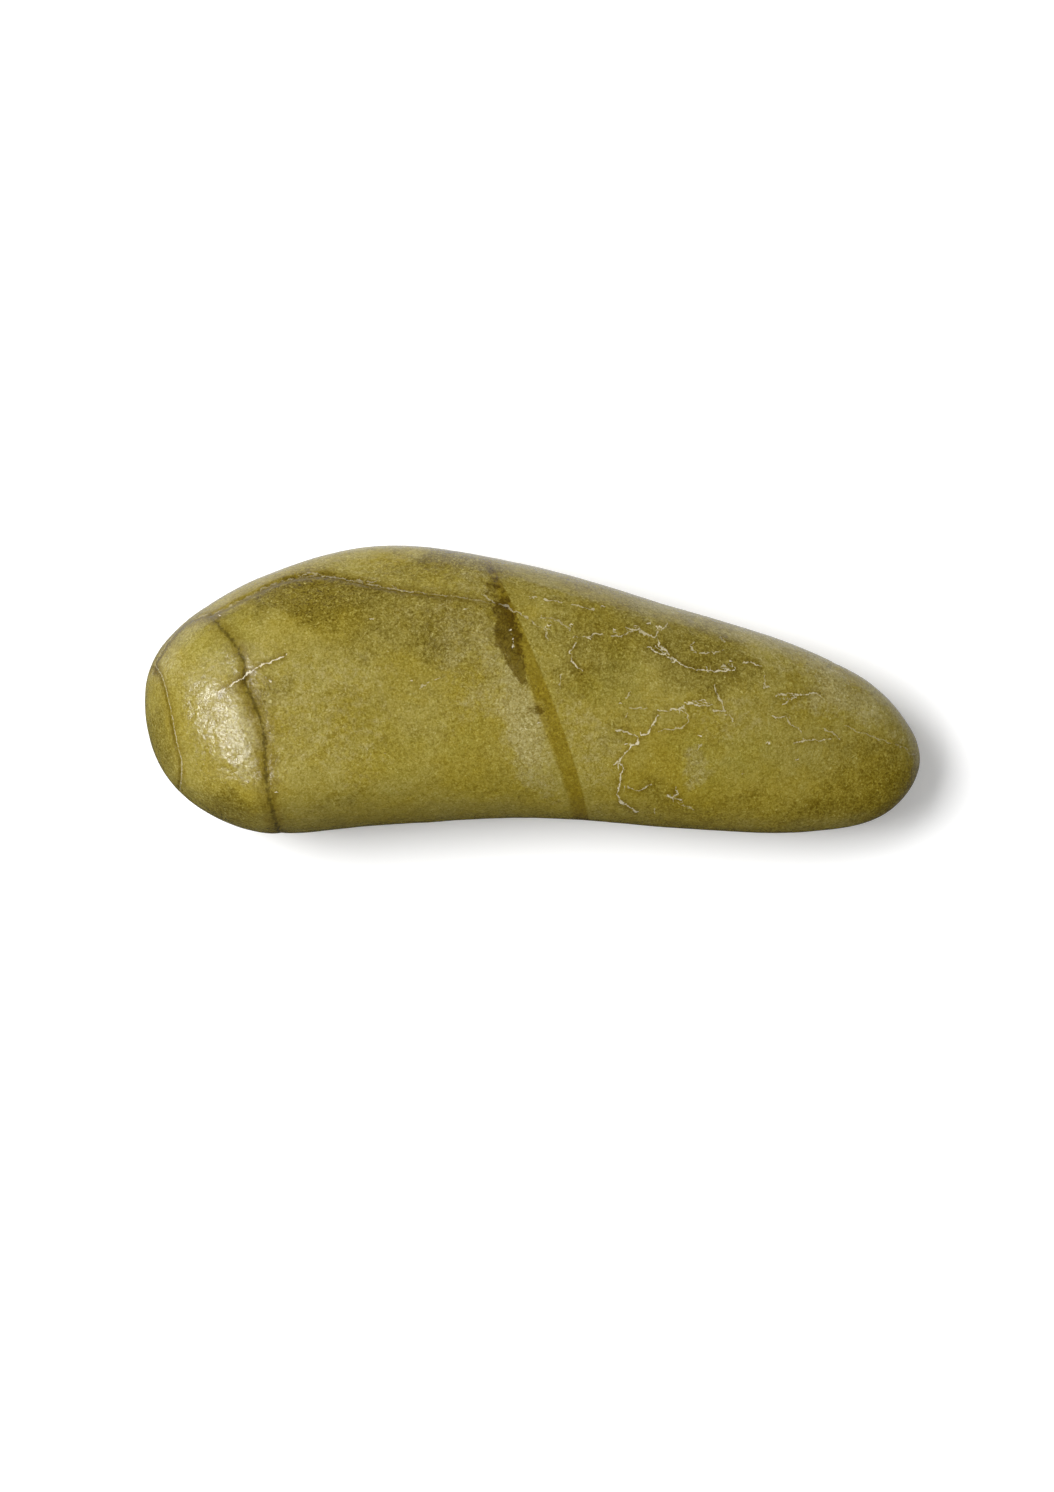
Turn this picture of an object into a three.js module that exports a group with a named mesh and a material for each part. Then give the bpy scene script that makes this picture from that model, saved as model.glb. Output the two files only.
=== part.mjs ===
// A tumbled serpentine pebble: one solid stone, resting on its flattened underside.
// Millimetres, +Z up. The stone lies along X, blunt end at -X, slim end at +X.
// The origin is on the resting plane, under the middle of the stone's bounding box.
import * as THREE from "three";
import { mergeVertices } from "three/addons/utils/BufferGeometryUtils.js";

// Driving dimensions
const length = 80; // tip to tip
const width = 29; // across the blunt half, less the bow of the stone
const thickness = 19; // resting plane to the crest, before the upper face is worn flat
const squareness = 2.35; // cross-section: 2 is an oval, more is squarer
const sphereDetail = 17; // subdivisions of the starting sphere: 20 (detail + 1)^2 triangles

// How the stone changes from the blunt tip to the slim tip. Nine stations, evenly spaced in
// angle round the stone's long profile, so they crowd towards the tips. Each value is what a
// round-ended stone would have there, because the rounding of the ends multiplies it.
const ofWidth = (share) => share * width;
const ofThickness = (share) => share * thickness;
const profiles = {
  halfWidth: smooth([0.84, 0.713, 0.638, 0.538, 0.447, 0.422, 0.458, 0.506, 0.44].map(ofWidth)),
  sideShift: smooth([-0.035, -0.071, -0.056, 0.015, -0.01, -0.105, -0.184, -0.236, -0.25].map(ofWidth)),
  equatorHeight: smooth([0.43, 0.44, 0.45, 0.46, 0.45, 0.43, 0.42, 0.4, 0.39].map(ofThickness)),
  crown: smooth([1, 0.97, 0.86, 0.64, 0.52, 0.49, 0.52, 0.53, 0.5].map(ofThickness)),
  keel: smooth([0.56, 0.56, 0.56, 0.52, 0.48, 0.48, 0.52, 0.52, 0.5].map(ofThickness)),
};

// Worn facets: planes that have planed the stone. Each has a point on it in shares of length,
// width and thickness, the compass heading that its outward side leans to (0 is +X, 90 is +Y),
// its lean from level, and the softness of its rim as a share of the thickness.
const facets = [
  { name: "upper face", at: [-0.05, -0.03, 0.93], heading: 10, lean: 2, softness: 0.03 },
  { name: "back shoulder", at: [-0.15, 0.38, 0.8], heading: 97, lean: 42, softness: 0.037 },
  { name: "blunt end", at: [-0.35, -0.08, 0.962], heading: 192, lean: 18, softness: 0.025 },
  { name: "slim end", at: [0.375, -0.17, 0.74], heading: 350, lean: 17, softness: 0.063 },
].map(facetPlane);

// A smooth curve through evenly spaced values; t runs from 0 to 1.
function smooth(values) {
  const last = values.length - 1;
  const points = values.map((value, i) => new THREE.Vector3(i / last, value, 0));
  const curve = new THREE.CatmullRomCurve3(points, false, "catmullrom", 0.5);
  return (t) => curve.getPoint(t).y;
}

function facetPlane({ at, heading, lean, softness }) {
  const point = new THREE.Vector3(at[0] * length, at[1] * width, at[2] * thickness);
  const tilt = THREE.MathUtils.degToRad(lean);
  const turn = THREE.MathUtils.degToRad(heading);
  const outward = Math.sin(tilt);
  const normal = new THREE.Vector3(outward * Math.cos(turn), outward * Math.sin(turn), Math.cos(tilt));
  const plane = new THREE.Plane().setFromNormalAndCoplanarPoint(normal, point);
  return { plane, rim: softness * thickness };
}

// Keeps the sign of a value and raises its size to a power.
function signedPower(value, power) {
  return Math.sign(value) * Math.abs(value) ** power;
}

// Zero well below the plane and the whole depth well above it, with a rounded change between.
function wornDepth(height, rim) {
  return rim * Math.log1p(Math.exp(height / rim));
}

// Pulls a point of the unit sphere, whose X axis is the stone's, out to the stone's surface.
function toStone(point) {
  const girth = Math.hypot(point.y, point.z); // 0 at the tips, 1 at mid-length
  const along = Math.acos(THREE.MathUtils.clamp(-point.x, -1, 1)) / Math.PI;
  const across = girth > 0 ? signedPower(point.y / girth, 2 / squareness) : 0;
  const upward = girth > 0 ? signedPower(point.z / girth, 2 / squareness) : 0;
  const rise = upward > 0 ? profiles.crown(along) : profiles.keel(along);
  point.set(
    (point.x * length) / 2,
    profiles.sideShift(along) + girth * profiles.halfWidth(along) * across,
    profiles.equatorHeight(along) + girth * rise * upward,
  );
  for (const { plane, rim } of facets) {
    point.addScaledVector(plane.normal, -wornDepth(plane.distanceToPoint(point), rim));
  }
  point.z = Math.max(point.z, 0); // the flat that the stone rests on
}

// Moves the geometry so that the middle of its box is over the origin and it rests on z = 0.
function standOnOrigin(geometry) {
  geometry.computeBoundingBox();
  const { min, max } = geometry.boundingBox;
  geometry.translate(-(min.x + max.x) / 2, -(min.y + max.y) / 2, -min.z);
}

function stoneGeometry() {
  const sphere = new THREE.IcosahedronGeometry(1, sphereDetail);
  sphere.deleteAttribute("normal");
  sphere.deleteAttribute("uv");
  const geometry = mergeVertices(sphere);
  const position = geometry.getAttribute("position");
  const point = new THREE.Vector3();
  for (let i = 0; i < position.count; i++) {
    toStone(point.fromBufferAttribute(position, i));
    position.setXYZ(i, point.x, point.y, point.z);
  }
  standOnOrigin(geometry);
  geometry.computeVertexNormals();
  return geometry;
}

const serpentine = new THREE.MeshStandardMaterial({ color: 0x92863c, roughness: 0.35, metalness: 0 });

const stone = new THREE.Mesh(stoneGeometry(), serpentine);
stone.name = "serpentine_stone";

const part = new THREE.Group();
part.add(stone);

export default part;
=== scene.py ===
import math

import bpy
import numpy as np
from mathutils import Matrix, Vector


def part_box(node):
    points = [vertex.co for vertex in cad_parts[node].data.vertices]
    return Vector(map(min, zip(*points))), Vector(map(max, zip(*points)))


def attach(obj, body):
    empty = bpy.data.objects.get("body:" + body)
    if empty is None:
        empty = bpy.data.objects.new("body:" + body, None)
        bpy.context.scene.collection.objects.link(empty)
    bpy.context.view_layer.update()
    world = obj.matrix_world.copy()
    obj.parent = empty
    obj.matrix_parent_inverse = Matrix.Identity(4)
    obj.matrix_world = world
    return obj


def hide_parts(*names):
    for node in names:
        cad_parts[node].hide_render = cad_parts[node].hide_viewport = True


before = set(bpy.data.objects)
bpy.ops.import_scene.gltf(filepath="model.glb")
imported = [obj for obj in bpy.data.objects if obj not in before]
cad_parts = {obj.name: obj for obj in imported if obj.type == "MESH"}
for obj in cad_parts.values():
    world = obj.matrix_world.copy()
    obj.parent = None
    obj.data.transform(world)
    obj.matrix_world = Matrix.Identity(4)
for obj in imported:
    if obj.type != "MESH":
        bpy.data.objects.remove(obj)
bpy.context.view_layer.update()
print("frame loaded:", sorted(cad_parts))

mm = 0.001

# What a user would change on the stone's shape. Stations run from the blunt tip to the slim tip,
# evenly spaced in angle. Widths are shares of width, heights shares of thickness, and a facet's
# point is in shares of length, width and thickness; heading 0 is +X, 90 is +Y, lean is from level.
stoneShape = {
    "length": 80 * mm,
    "width": 29 * mm,
    "thickness": 19 * mm,
    "squareness": 2.35,
    "halfWidth": [0.84, 0.713, 0.638, 0.538, 0.447, 0.422, 0.458, 0.506, 0.44],
    "sideShift": [-0.035, -0.071, -0.056, 0.015, -0.01, -0.105, -0.184, -0.236, -0.25],
    "equatorHeight": [0.43, 0.44, 0.45, 0.46, 0.45, 0.43, 0.42, 0.4, 0.39],
    "crown": [1, 0.97, 0.86, 0.64, 0.52, 0.49, 0.52, 0.53, 0.5],
    "keel": [0.56, 0.56, 0.56, 0.52, 0.48, 0.48, 0.52, 0.52, 0.5],
    "facets": [
        {"at": (-0.05, -0.03, 0.93), "heading": 10, "lean": 2, "rim": 0.03},  # upper face
        {"at": (-0.15, 0.38, 0.8), "heading": 97, "lean": 42, "rim": 0.037},  # back shoulder
        {"at": (-0.35, -0.08, 0.962), "heading": 192, "lean": 18, "rim": 0.025},  # blunt end
        {"at": (0.375, -0.17, 0.74), "heading": 350, "lean": 17, "rim": 0.063},  # slim end
    ],
    "restRim": 0.2 * mm,  # rounding of the rim round the flat underneath
    "turnsUnder": (-0.35, 0.05),  # outward direction's Z where the upper side starts and is whole
    "turnsUp": (0.1, 0.7),  # the same for the upper face, without the steep sides
    "ringsAlong": 300,
    "stepsOver": 200,  # round the upper half of a ring
    "stepsUnder": 98,  # round the lower half
    "midCrowding": 0.05,  # gathers rings towards mid-length
}

# What a user would change on the marks, in millimetres. Places are as seen at markLevel by an eye
# above the stone, and each line is a list of points that the mark passes through.
stoneMarks = {
    "markEye": (-0.6, -5.8, 435.8),
    "markLevel": 9.2,
    "curveStep": 0.5,  # between points on the smooth marks
    "hairStep": 0.35,  # between kinks on the hairlines
    "hairWander": 0.09,
    "hairSeed": 5,
    "sideFade": (0.05, 0.3),  # outward direction's Z where hairlines and seams start and are whole
    "seamEnd": (-12, 0),  # the back seam dies out along this stretch
    # brown under the back seam: its width, where it comes in and where it fades out, then the share
    # of any stain that is left beyond the seam, and how far from the seam that holds
    "seamStain": {"width": 2, "from": (-30, -27), "to": (-19, -14), "beyond": 0.45, "reach": (2, 4)},
    "patchWander": [(1.9, 4.5), (0.9, 1.7)],  # size and spacing of the turns in a patch's outline
    "blotchWander": 0.3,  # the blotch's share of that wander
    "patchUnder": 0.25,  # how much of a patch is left where it reaches under the stone
    "endCrack": [
        (-33.3, 7.7), (-32.3, 6.6), (-30.9, 5.0), (-29.8, 2.8), (-29.6, 0.6), (-28.5, -1.9),
        (-27.7, -4.4), (-27.5, -8.6), (-27.1, -11.4), (-25.9, -15.5),
    ],
    "backSeam": [
        (-39.1, 1.6), (-38.6, 3.1), (-37.6, 4.7), (-35.9, 6.7), (-34.3, 7.4), (-32.1, 8.2),
        (-28.4, 10.1), (-25.5, 11.3), (-23.2, 11.7), (-21.0, 11.8), (-18.1, 11.1), (-14.2, 10.3),
        (-11.0, 9.9), (-6.5, 9.3), (-2.4, 8.2), (0.5, 6.4),
    ],
    "endSeam": [
        (-38.9, 2.4), (-38.0, 0.8), (-37.2, -2.6), (-36.8, -5.0), (-36.2, -7.7), (-36.4, -10.4),
    ],
    "bandSharpEdge": [
        (-5.3, 16.0), (-4.0, 12.6), (-2.1, 8.9), (0.8, 2.1), (3.7, -5.6), (5.4, -11.5), (6.5, -17.0),
    ],
    "bandRaggedEdge": [
        (-6.8, 17.0), (-5.3, 13.7), (-3.6, 9.4), (-1.2, 2.6), (1.1, -4.2), (3.2, -9.9), (5.0, -17.0),
    ],
}

# Chalky hairlines, with a few painted glints among them: how strong each is (1 is solid chalk), and the
# points it passes through.
hairlines = {
    "endScratch": (1.3, [
        (-25.4, 3.6), (-26.8, 2.9), (-28.4, 2.4), (-30.0, 1.1), (-31.4, 0.2), (-32.3, -0.6),
    ]),
    "endSpecks": (1.0, [(-27.4, 1.2), (-27.1, 1.0), (-26.9, 0.7)]),
    # the next three are painted glints along the ridge of the back seam, drawn in the chalk colour
    "seamRidgeGlint": (0.35, [(-24.2, 11.8), (-22.9, 12.1), (-21.6, 11.9), (-20.4, 11.6)]),
    "seamGlintDashA": (0.25, [(-18.4, 11.4), (-17.2, 11.1), (-16.2, 11.1)]),
    "seamGlintDashB": (0.2, [(-14.6, 10.7), (-13.5, 10.3), (-12.4, 10.1)]),
    "midDashA": (0.4, [(-11.7, 0.2), (-10.7, 0.7)]),
    "midDashB": (0.4, [(-10.2, 1.0), (-9.6, 1.3)]),
    "backDashA": (0.6, [(-0.4, 9.6), (0.4, 9.4)]),
    "backDashB": (0.6, [(1.1, 9.4), (2.0, 9.2), (3.0, 8.9)]),
    "backDashC": (0.5, [(3.9, 8.6), (5.3, 8.4), (6.4, 8.2)]),
    "threadA": (0.35, [
        (-5.2, 9.7), (-3.7, 8.8), (-2.3, 8.4), (-0.8, 7.6), (0.3, 6.7), (1.4, 6.1), (1.6, 5.0),
    ]),
    "threadB": (0.3, [(0.6, 7.5), (2.1, 7.3), (3.1, 6.8), (3.9, 6.2)]),
    "hook": (0.85, [(4.5, 4.8), (3.9, 4.0), (3.9, 3.2), (4.4, 2.5), (5.1, 2.0)]),
    "chainA": (0.6, [(5.1, 5.4), (5.7, 5.4), (6.4, 5.8), (7.3, 5.6)]),
    "chainB": (0.5, [(8.2, 5.6), (9.4, 5.5), (9.8, 5.9), (10.4, 6.2), (11.4, 5.8), (12.4, 5.4)]),
    "chainC": (0.6, [(9.6, 6.5), (10.9, 6.1), (12.4, 5.4), (13.1, 6.0), (13.8, 6.7)]),
    "arch": (0.95, [
        (11.8, 4.4), (12.4, 4.0), (13.8, 3.5), (14.9, 2.8), (16.0, 2.3), (17.4, 2.0), (19.7, 1.9),
        (20.9, 2.1),
    ]),
    "archSpur": (0.9, [(12.9, 4.8), (13.4, 4.2), (14.1, 3.5)]),
    "ringTop": (0.6, [(16.5, 4.9), (16.1, 4.5), (16.8, 3.9)]),
    "ringSide": (0.6, [(17.3, 3.8), (18.6, 3.8), (19.5, 4.0)]),
    "ringSpur": (0.55, [(19.2, 5.4), (19.8, 5.0)]),
    "dashA": (0.8, [(21.7, 2.7), (22.4, 2.9), (23.1, 2.5), (23.6, 2.3)]),
    "tickA": (0.5, [(18.2, 2.4), (18.2, 1.9)]),
    "tickB": (0.5, [(19.3, 2.5), (19.9, 2.4)]),
    "drop": (0.5, [(23.8, 1.5), (23.8, 0.3), (24.2, 0.2)]),
    "slope": (0.6, [(18.7, 0.5), (19.1, -0.6), (19.5, -1.5), (19.7, -2.2), (18.6, -2.2)]),
    "slopeFoot": (0.5, [(19.9, -2.6), (20.5, -2.6), (20.6, -3.3)]),
    "combA": (0.65, [(25.0, -0.6), (26.1, -0.4), (27.3, -0.4)]),
    "combB": (0.85, [
        (25.7, -1.5), (26.6, -1.0), (27.4, -0.5), (28.5, -0.4), (29.4, -0.3), (29.8, -0.7),
    ]),
    "wedge": (0.6, [(24.7, -2.7), (25.3, -2.9), (26.2, -2.6)]),
    "wedgeTail": (0.45, [(26.2, -3.3), (26.9, -3.9), (27.7, -4.4)]),
    "nib": (0.7, [(27.0, -5.5), (27.9, -5.2), (29.3, -5.2), (30.7, -5.1)]),
    "nibLoop": (0.45, [(30.0, -4.0), (31.0, -4.4), (31.6, -5.1)]),
    "endThread": (0.3, [
        (32.2, -3.6), (33.2, -4.2), (34.4, -4.5), (35.6, -5.2), (37.0, -5.5), (38.3, -6.0), (39.3, -6.8),
    ]),
    "roofA": (0.85, [(15.7, -1.4), (16.7, -1.2), (17.8, -1.1)]),
    "roofB": (0.85, [(15.7, -1.4), (17.0, -1.6), (18.5, -1.6)]),
    "roofLink": (0.75, [(12.9, -2.2), (13.8, -2.2), (15.1, -2.0), (15.7, -1.5)]),
    "mainBranch": (1.0, [
        (12.9, -2.2), (12.7, -3.0), (12.4, -3.6), (11.8, -4.4), (11.0, -4.8), (10.8, -5.5),
        (10.2, -5.9), (9.6, -6.4), (9.2, -6.8), (8.9, -7.3), (8.4, -7.7),
    ]),
    "mainFoot": (0.9, [
        (8.9, -7.3), (9.4, -8.2), (9.0, -8.9), (8.9, -9.6), (8.6, -10.7), (9.0, -11.6), (9.8, -12.0),
        (10.8, -12.6),
    ]),
    "mainArm": (0.7, [(8.6, -4.2), (9.6, -4.3), (10.6, -4.8)]),
    "mainLoop": (0.5, [
        (12.9, -4.2), (14.1, -4.0), (15.0, -3.9), (15.7, -3.8), (16.0, -3.0), (15.6, -1.9),
    ]),
    "crumbA": (0.45, [(10.1, -1.9), (11.7, -1.9)]),
    "crumbB": (0.4, [(10.1, -0.3), (9.6, -0.8)]),
    "crumbC": (0.35, [(9.4, -2.9), (9.7, -2.4)]),
    "crumbD": (0.4, [(17.3, -5.6), (17.0, -6.2)]),
    "lowCurl": (0.65, [(9.7, -9.9), (10.0, -10.3), (11.0, -10.4), (12.2, -9.8)]),
    "starA": (0.95, [(14.7, -10.1), (14.8, -10.8), (14.5, -11.2), (13.8, -10.9)]),
    "starB": (0.9, [(14.5, -11.2), (15.3, -11.3)]),
    "starTail": (0.4, [(14.9, -11.9), (16.0, -12.1), (16.7, -12.4)]),
    "leftDots": (0.4, [(2.9, 1.6), (2.8, 0.2)]),
    "footDot": (0.35, [(12.6, -12.4), (12.4, -12.8)]),
}

# Chalky specks: place and radius.
specks = [
    (10.6, 6.6, 0.2), (4.4, 5.4, 0.18), (1.7, 6.6, 0.14), (7.2, 8.5, 0.16), (5.9, 5.2, 0.13),
    (8.4, 6.2, 0.13), (12.9, 6.5, 0.14), (11.9, 6.9, 0.14), (3.9, 6.7, 0.12), (-2.3, 6.2, 0.05),
    (-2.1, 5.2, 0.04), (-2.0, 4.4, 0.05), (-12.5, 0.9, 0.12), (-6.9, 8.3, 0.14), (-16.6, 7.3, 0.14),
    (0.6, -3.4, 0.14), (9.6, -5.6, 0.14), (21.6, -8.6, 0.12), (27.2, -7.2, 0.12), (17.2, -4.7, 0.12),
    (14.5, 2.9, 0.14), (20.4, 2.9, 0.12), (-32.3, 7.7, 0.12), (-26.4, -10.6, 0.14), (24.2, -5.5, 0.12),
    (9.0, -1.4, 0.12), (9.6, -4.4, 0.12),
]

# Soft patches of colour: centre, half-sizes and turn in degrees from +X, then how much. Some of the
# stains are painted shade. Some of the ash patches are painted reflection, and one is a painted
# highlight glow. Each is marked where it stands.
patches = {
    "stain": [
        (-21.5, 9.6, 6.0, 1.7, 0, 0.65), (-15.4, 6.8, 6.1, 3.6, -14, 0.63),
        (-8.0, 10.6, 5.0, 1.8, -8, 0.6), (-15.0, 12.2, 6.0, 1.3, 0, 0.45),
        (-7.5, 6.5, 5.0, 4.5, 0, 0.18), (-25.6, 9.3, 1.8, 1.6, 0, 0.3),
        (-6.0, 4.5, 5.0, 3.5, -20, 0.2), (-26.6, 0.8, 1.9, 1.4, -10, 0.5),
        (-31.2, -12.2, 3.0, 1.5, -25, 0.8), (-37.6, -5.4, 1.2, 3.0, 8, 0.7),
        (-34.0, 6.4, 2.0, 1.2, 40, 0.3), (-19.0, -10.8, 3.0, 1.2, 20, 0.35),
        (-13.0, -3.0, 8.0, 3.0, 0, 0.15), (6.2, 3.4, 4.0, 3.6, -20, 0.35),
        (17.0, 4.6, 6.0, 2.6, -18, 0.65), (8.6, -4.9, 3.2, 1.1, 40, 0.35),
        # the second patch on the next line is painted shade, darkening the slim end where it turns away
        # from the key light
        (13.2, -10.8, 1.4, 1.1, 0, 0.55), (34.5, -10.0, 5.0, 4.6, 10, 0.5),
        (37.6, -6.6, 2.4, 5.0, 10, 0.15), (-25.0, 10.2, 3.2, 1.0, 12, 0.7),
        (-17.0, 12.6, 8.0, 1.3, -4, 0.6), (2.0, 8.5, 10.0, 5.0, -15, 0.35),
        # the first patch on the next line is painted shade along the front edge of the slim half
        (20.0, -13.2, 14.0, 2.0, 3, 0.35), (23.0, 1.0, 6.0, 3.5, -15, 0.2),
        (-29.6, 8.2, 2.0, 1.2, 20, 0.3),
    ],
    "ashAndSheen": [
        (-1.6, -2.8, 2.6, 4.0, 20, 0.85), (-3.4, 4.0, 1.6, 4.2, 18, 0.2),
        (0.5, -7.4, 1.9, 4.2, 20, 0.45), (-5.8, 10.8, 2.4, 2.0, -10, 0.2),
        (-10.0, 6.2, 3.5, 2.4, -15, 0.25), (-6.6, 3.2, 4.2, 6.0, 0, 0.35),
        # the second patch on the next line is a painted highlight glow between the blunt end's highlight
        # and the crack
        (-21.0, -2.0, 6.5, 6.0, 0, 0.32), (-29.4, -4.5, 1.5, 4.5, 12, 0.55),
        (5.6, -4.5, 2.0, 5.5, 20, 0.35), (31.0, 0.0, 5.0, 2.4, -25, 0.4),
        # the first patch on the next line is a painted reflection on the rim of the blunt tip
        (-37.8, 3.6, 2.2, 3.5, 25, 0.5), (17.4, -7.8, 1.5, 2.2, -20, 0.6),
        (28.6, -0.6, 2.0, 1.2, 0, 0.45), (20.0, -2.0, 4.0, 2.0, -20, 0.25),
        # both patches on the next line are painted reflection along the back edge of the slim half and
        # its tip
        (34.5, -1.2, 6.0, 1.4, -38, 0.45), (21.0, 6.6, 14.0, 1.5, -24, 0.35),
    ],
    "honey": [
        (4.6, -4.6, 2.0, 5.4, 22, 0.2), (12.2, -7.6, 3.4, 3.2, 0, 0.6),
        (22.0, -11.5, 15.0, 3.6, 3, 0.7), (36.0, -9.0, 5.0, 5.0, 0, 0.6),
        (-31.6, -9.4, 3.0, 2.4, 0, 0.4), (-25.6, 6.6, 2.4, 2.4, 0, 0.35),
        (-12.0, -12.0, 16.0, 2.4, 0, 0.4),
    ],
    "moss": [
        (20.0, -7.4, 4.8, 3.2, 0, 0.4), (8.6, 1.6, 3.4, 2.4, 0, 0.35),
        (-12.0, -6.0, 6.0, 4.0, 0, 0.25), (-31.8, 5.0, 2.6, 3.0, 30, 0.4),
    ],
    "blotch": [
        (-2.4, 5.2, 1.05, 2.7, 14, 1.0), (-1.5, 2.2, 0.7, 1.3, 30, 0.8),
        (0.3, -2.2, 0.8, 0.7, 0, 0.8), (-3.9, 10.2, 0.8, 3.0, 20, 0.45),
        (-1.8, 6.6, 1.3, 3.2, 22, 0.25),
    ],
}

# What a user would change on the relief. Heights and spacings are in metres, and widths, reaches
# and places are in millimetres as the marks' are.
reliefLook = {
    "swell": 0.12 * mm,  # broad unevenness
    "swellSpacing": (11 * mm, 5 * mm),
    "swellOnSides": 0.25,  # how much of the swell a steep side keeps
    "hammered": 0.035 * mm,  # shallow dimples
    "hammeredSpacing": (2.6 * mm, 1.2 * mm),
    "crackDepth": 0.05 * mm,
    "crackWidth": 0.4,
    "crackStep": 0.09 * mm,  # the upper face starts this much lower beside the crack
    "crackStepReach": 5,
    "crackStepEdge": (-0.15, 0.2),  # the step's rise, across the line
    "seamDepth": 0.08 * mm,
    "seamWidth": 0.25,
    "seamStep": 0.1 * mm,  # one side of a seam stands this much above the other
    "seamStepReach": 1.8,
    "seamStepEdge": (0, 0.35),
    "hairlineRise": 0.02 * mm,
    "hairlineWidth": 0.16,
    "bulge": 0.34 * mm,  # height of a low dome on the blunt end
    "bulgePlace": [(-32.7, -2.8, 3.2, 5.8, 32, 1.0)],
    "pits": [
        (31.0, 2.4, 0.35), (16.5, 7.2, 0.3), (-22.0, 6.4, 0.25), (24.6, 4.6, 0.25), (-9.2, -9.4, 0.25),
    ],
    "pitDepth": 0.12 * mm,
}


# A smooth curve through evenly spaced values: uniform Catmull-Rom, with the ends carried straight on.
def throughStations(values, share):
    values = np.asarray(values, float)
    ends = 2 * values[:1] - values[1:2], 2 * values[-1:] - values[-2:-1]
    padded = np.concatenate([ends[0], values, ends[1]])
    place = np.clip(share, 0, 1) * (len(values) - 1)
    first = np.minimum(place.astype(int), len(values) - 2)
    t = place - first
    a, b, c, d = (padded[first + k] for k in range(4))
    return b + 0.5 * t * (c - a + t * (2 * a - 5 * b + 4 * c - d + t * (3 * (b - c) + d - a)))


# Keeps the sign and raises the size to a power.
def signedPower(value, power):
    return np.sign(value) * np.abs(value) ** power


# Nothing well below zero and the whole value well above it, with a rounded change between.
def softPositive(value, rim):
    return rim * np.logaddexp(0, value / rim)


# Zero below low, one above high, and an S-curve between.
def smoothStep(value, low, high):
    t = np.clip((value - low) / (high - low), 0, 1)
    return t * t * (3 - 2 * t)


# The stone's bare surface for directions given as the angle along from the blunt tip and the angle
# round the long axis: half the length times minus the cosine of the first, then a superellipse whose
# half-width and heights follow the stations, planed by each facet and by the resting plane.
def bareStone(along, around):
    share = along / math.pi
    girth = np.sin(along)
    across = signedPower(np.cos(around), 2 / stoneShape["squareness"])
    upward = signedPower(np.sin(around), 2 / stoneShape["squareness"])
    station = {
        name: throughStations(stoneShape[name], share)
        for name in ("halfWidth", "sideShift", "equatorHeight", "crown", "keel")
    }
    rise = np.where(upward > 0, station["crown"], station["keel"])
    size = np.array([stoneShape["length"], stoneShape["width"], stoneShape["thickness"]])
    points = np.stack([
        -np.cos(along) / 2 * np.ones_like(across),
        station["sideShift"] + girth * station["halfWidth"] * across,
        station["equatorHeight"] + girth * rise * upward,
    ], axis=-1) * size
    for facet in stoneShape["facets"]:
        heading, lean = math.radians(facet["heading"]), math.radians(facet["lean"])
        outward = math.sin(lean)
        normal = np.array([outward * math.cos(heading), outward * math.sin(heading), math.cos(lean)])
        height = (points - np.array(facet["at"]) * size) @ normal
        worn = softPositive(height, facet["rim"] * stoneShape["thickness"])
        points = points - worn[..., None] * normal
    points[..., 2] = softPositive(points[..., 2], stoneShape["restRim"])
    return points


# Slides and stretches points so that their box is the given one.
def fitToBox(points, low, high):
    flat = points.reshape(-1, 3)
    least, most = flat.min(0), flat.max(0)
    return low + (points - least) / (most - least) * (high - low)


# Smooth random heights between -1 and 1 in space: each corner of a cubic lattice has a random value,
# and points blend the eight corners round them with S-curve weights.
def latticeNoise(points, spacing, seed):
    place = points / spacing
    cell = np.floor(place).astype(int)
    t = smoothStep(place - cell, 0, 1)
    least = cell.min(0)
    cell = cell - least
    values = np.random.default_rng(seed).uniform(-1, 1, cell.max(0) + 2)
    total = np.zeros(len(points))
    for corner in np.ndindex(2, 2, 2):
        weight = np.prod(np.where(corner, t, 1 - t), axis=1)
        x, y, z = (cell + corner).T
        total += weight * values[x, y, z]
    return total


# Points every step along a smooth curve through the given ones.
def smoothLine(points, step):
    points = np.asarray(points, float)
    length = np.linalg.norm(np.diff(points, axis=0), axis=1).sum()
    share = np.linspace(0, 1, max(2, int(length / step)))
    return np.stack([throughStations(points[:, k], share) for k in (0, 1)], axis=1)


# Points every step along straight legs, pushed about at random so that the line is crooked.
def crookedLine(points, step, wander, random):
    points = np.asarray(points, float)
    leg = np.linalg.norm(np.diff(points, axis=0), axis=1)
    run = np.concatenate([[0], np.cumsum(leg)])
    place = np.linspace(0, run[-1], max(2, int(round(run[-1] / step)) + 1))
    line = np.stack([np.interp(place, run, points[:, k]) for k in (0, 1)], axis=1)
    return line + random.uniform(-wander, wander, line.shape)


# For points seen from above, in millimetres: the signed distance to the nearest of several lines
# (positive on its left), the same unsigned and growing faster past a line's ends, and its strength.
def lineField(flat, lines, strengths):
    side = np.full(len(flat), np.inf)
    reach = side.copy()
    strength = np.zeros(len(flat))
    for line, power in zip(lines, strengths):
        last = len(line) - 2
        for k in range(last + 1):
            leg = line[k + 1] - line[k]
            offset = flat - line[k]
            share = offset @ leg / (leg @ leg)
            gap = offset - np.clip(share, 0, 1)[:, None] * leg
            distance = np.hypot(gap[:, 0], gap[:, 1])
            past = np.maximum(-share if k == 0 else 0, share - 1 if k == last else 0)
            past = np.maximum(past, 0) * math.hypot(*leg)
            left = np.sign(leg[0] * offset[:, 1] - leg[1] * offset[:, 0])
            nearer = distance < np.abs(side)
            side = np.where(nearer, np.where(left < 0, -distance, distance), side)
            reach = np.where(nearer, distance + 3 * past, reach)
            strength = np.where(nearer, power, strength)
    return np.stack([side, reach, strength], axis=1)


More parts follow.
